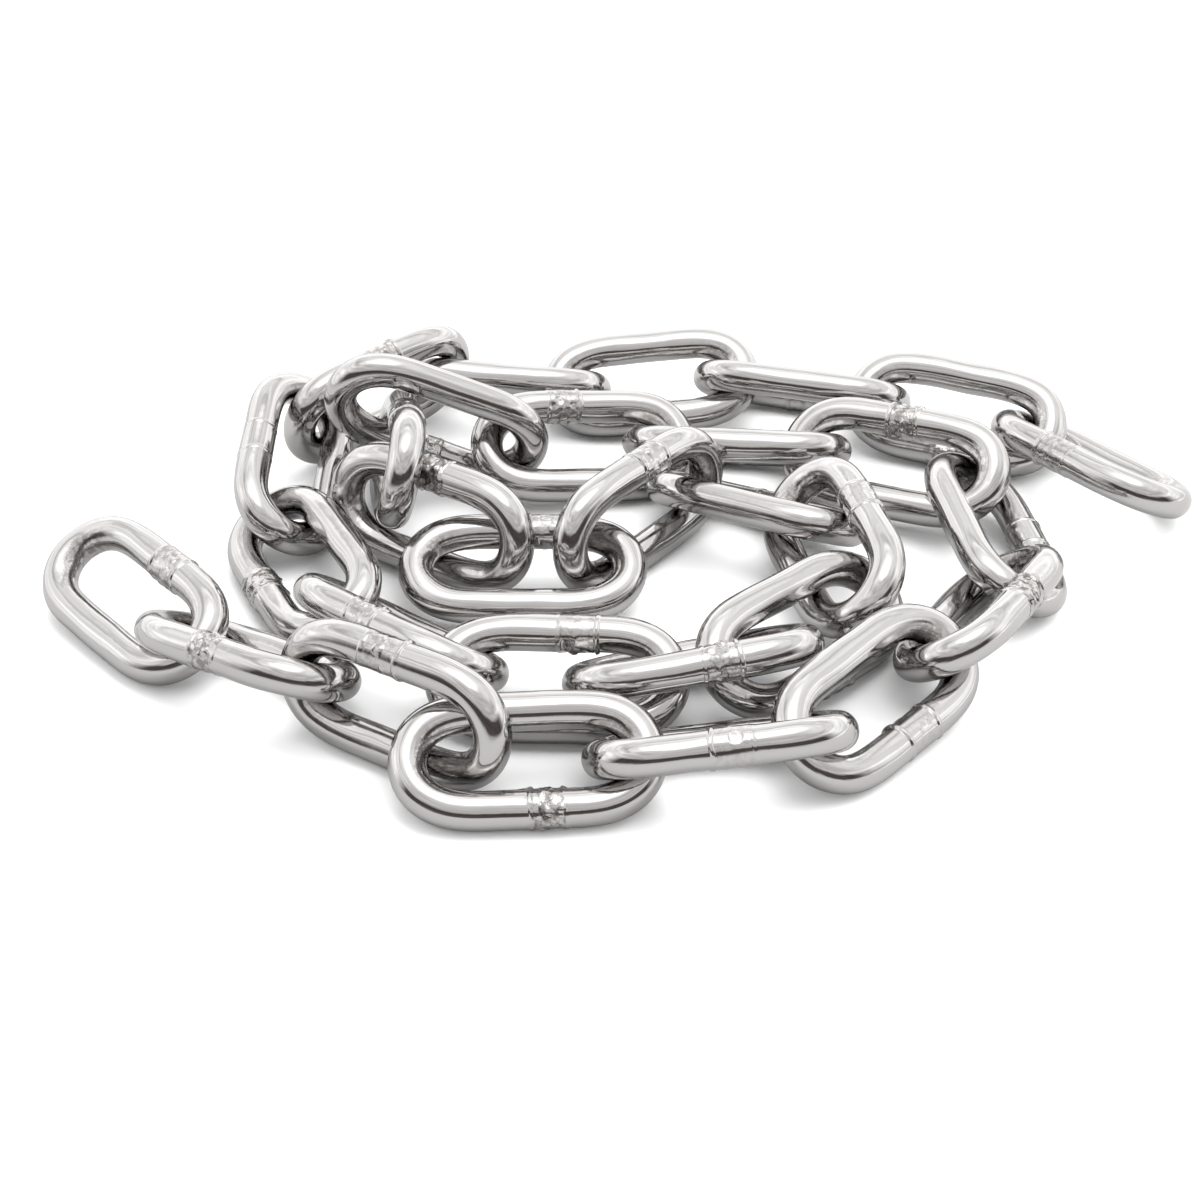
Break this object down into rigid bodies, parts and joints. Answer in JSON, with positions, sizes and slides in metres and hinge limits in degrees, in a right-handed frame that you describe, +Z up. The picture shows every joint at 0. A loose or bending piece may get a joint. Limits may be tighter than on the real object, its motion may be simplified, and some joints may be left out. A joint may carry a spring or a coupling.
{
  "type": "heap of steel chain",
  "caption": "Loose heap of welded oval-link stainless steel chain, laid in a low open coil that crosses itself, with a free link at each end.",
  "frame": {"origin": "on the ground under the middle of the heap's outline seen from above", "axes": "+X along the heap's longest side, to the picture's right; +Y away from the picture's viewer; +Z up"},
  "size_m": [0.2307, 0.1544, 0.0353],
  "materials": {
    "stainless_steel": "bright tumbled"
  },
  "bodies": {
    "root": {"link_01": "stainless_steel", "link_02": "stainless_steel", "link_03": "stainless_steel", "link_04": "stainless_steel", "link_05": "stainless_steel", "link_06": "stainless_steel", "link_07": "stainless_steel", "link_08": "stainless_steel", "link_09": "stainless_steel", "link_10": "stainless_steel", "link_11": "stainless_steel", "link_12": "stainless_steel", "link_13": "stainless_steel", "link_14": "stainless_steel", "link_15": "stainless_steel", "link_16": "stainless_steel", "link_17": "stainless_steel", "link_18": "stainless_steel", "link_19": "stainless_steel", "link_20": "stainless_steel", "link_21": "stainless_steel", "link_22": "stainless_steel", "link_23": "stainless_steel", "link_24": "stainless_steel", "link_25": "stainless_steel", "link_26": "stainless_steel", "link_27": "stainless_steel", "link_28": "stainless_steel", "link_29": "stainless_steel", "link_30": "stainless_steel"}
  },
  "joints": []
}
